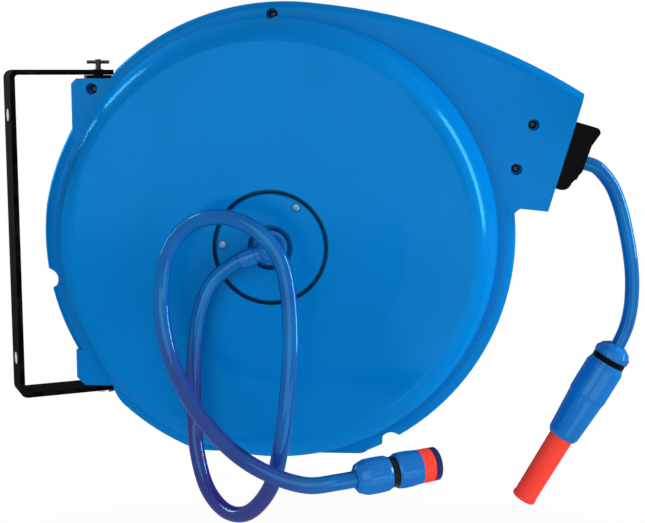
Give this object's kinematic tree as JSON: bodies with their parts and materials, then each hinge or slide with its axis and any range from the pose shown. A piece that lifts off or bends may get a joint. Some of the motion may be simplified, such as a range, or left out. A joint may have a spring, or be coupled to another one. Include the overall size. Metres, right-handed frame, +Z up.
{
  "type": "wall mounted hose reel",
  "caption": "Wall mounted spring-rewind hose reel: round moulded housing that swings on a flat-bar bracket, roller guide, hose with spray nozzle, and a looped inlet hose with quick connector.",
  "frame": {"origin": "on the wall face of the bracket's plate, midway between its two bolt holes, level with the reel's axis", "axes": "+X out of the wall into the room, +Y to the right facing the wall's normal by the right-hand rule, +Z up"},
  "size_m": [0.5683, 0.4406, 0.502],
  "materials": {
    "housing_blue": "semi-gloss moulded",
    "fitting_blue": "moulded",
    "fitting_red": "moulded",
    "hose_blue": "glossy flexible",
    "black_plastic": "moulded",
    "grey_plastic": "moulded",
    "roller_grey": "turned",
    "seal_rubber": "matte",
    "bracket_steel": "powder coat",
    "zinc_steel": "zinc plated",
    "screw_steel": "blackened",
    "spring_steel": "oiled",
    "brass": "turned"
  },
  "bodies": {
    "bracket": {"bracket": "bracket_steel", "pivot_stud": "zinc_steel"},
    "lock_pin": {"lock_pin": "zinc_steel", "pin_handle": "zinc_steel"},
    "housing": {"front_shell": "housing_blue", "rear_shell": "housing_blue", "shell_screws": "screw_steel", "upper_bush": "black_plastic", "lower_bush": "black_plastic", "hub_cover": "housing_blue", "hub_screws": "zinc_steel", "axle": "zinc_steel", "axle_bolt": "zinc_steel", "spring_arbor": "grey_plastic", "inlet_elbow": "fitting_blue", "inlet_ferrule": "fitting_blue", "pawl_pin": "zinc_steel", "hose_lead": "hose_blue", "guide_frame": "black_plastic", "roller_pins": "zinc_steel", "outlet_hose": "hose_blue", "hose_stop": "seal_rubber", "nozzle_nut": "fitting_blue", "nozzle_ring": "black_plastic", "nozzle_body": "fitting_blue", "inlet_hose": "hose_blue", "connector_nut": "fitting_blue", "connector_core": "black_plastic"},
    "drum": {"front_flange": "grey_plastic", "rear_flange": "grey_plastic", "barrel": "grey_plastic", "front_bearing": "brass", "rear_bearing": "brass", "union_body": "brass", "o_rings": "seal_rubber", "spring_case": "grey_plastic", "spring_cover": "grey_plastic", "power_spring": "spring_steel", "ratchet_ring": "spring_steel", "hose_core": "hose_blue", "hose_winding": "hose_blue"},
    "pawl": {"pawl": "spring_steel"},
    "roller_upper": {"roller_upper": "roller_grey"},
    "roller_lower": {"roller_lower": "roller_grey"},
    "roller_front": {"roller_front": "roller_grey"},
    "roller_rear": {"roller_rear": "roller_grey"},
    "nozzle_tip": {"nozzle_tip": "fitting_red"},
    "connector_collar": {"connector_collar": "fitting_blue", "release_ring": "fitting_red"}
  },
  "joints": [
    {"name": "reel_swing", "type": "hinge", "parent": "bracket", "child": "housing", "pos_m": [0.09, 0, 0], "axis": [0, 0, 1], "range_deg": [-22, 80]},
    {"name": "pin_lift", "type": "slide", "parent": "bracket", "child": "lock_pin", "axis": [0, 0, 1], "range_m": [0, 0.045]},
    {"name": "drum_spin", "type": "hinge", "parent": "housing", "child": "drum", "pos_m": [0.25038, -0.08172, 0], "axis": [0.454, 0.891, 0], "range_deg": [0, 7200], "stiffness_Nm_per_rad": 0.05, "springref_deg": -2291.83},
    {"name": "pawl_swing", "type": "hinge", "parent": "housing", "child": "pawl", "pos_m": [0.24474, -0.00028, 0.068], "axis": [0.454, 0.891, 0], "range_deg": [0, 14]},
    {"name": "upper_roller_spin", "type": "hinge", "parent": "housing", "child": "roller_upper", "pos_m": [0.50851, -0.21324, 0.09663], "axis": [0.454, 0.891, 0], "continuous": true},
    {"name": "lower_roller_spin", "type": "hinge", "parent": "housing", "child": "roller_lower", "pos_m": [0.49868, -0.20823, 0.05818], "axis": [0.454, 0.891, 0], "continuous": true},
    {"name": "front_roller_spin", "type": "hinge", "parent": "housing", "child": "roller_front", "pos_m": [0.48134, -0.21736, 0.08223], "axis": [0.2456, -0.1251, 0.9613], "continuous": true},
    {"name": "rear_roller_spin", "type": "hinge", "parent": "housing", "child": "roller_rear", "pos_m": [0.49587, -0.18884, 0.08223], "axis": [0.2456, -0.1251, 0.9613], "continuous": true},
    {"name": "nozzle_twist", "type": "hinge", "parent": "housing", "child": "nozzle_tip", "pos_m": [0.49379, -0.20574, -0.22126], "axis": [-0.4374, 0.2229, -0.8712], "range_deg": [0, 270]},
    {"name": "collar_slide", "type": "slide", "parent": "housing", "child": "connector_collar", "axis": [-0.997, 0.0348, -0.0698], "range_m": [0, 0.006], "stiffness_N_per_m": 800}
  ]
}
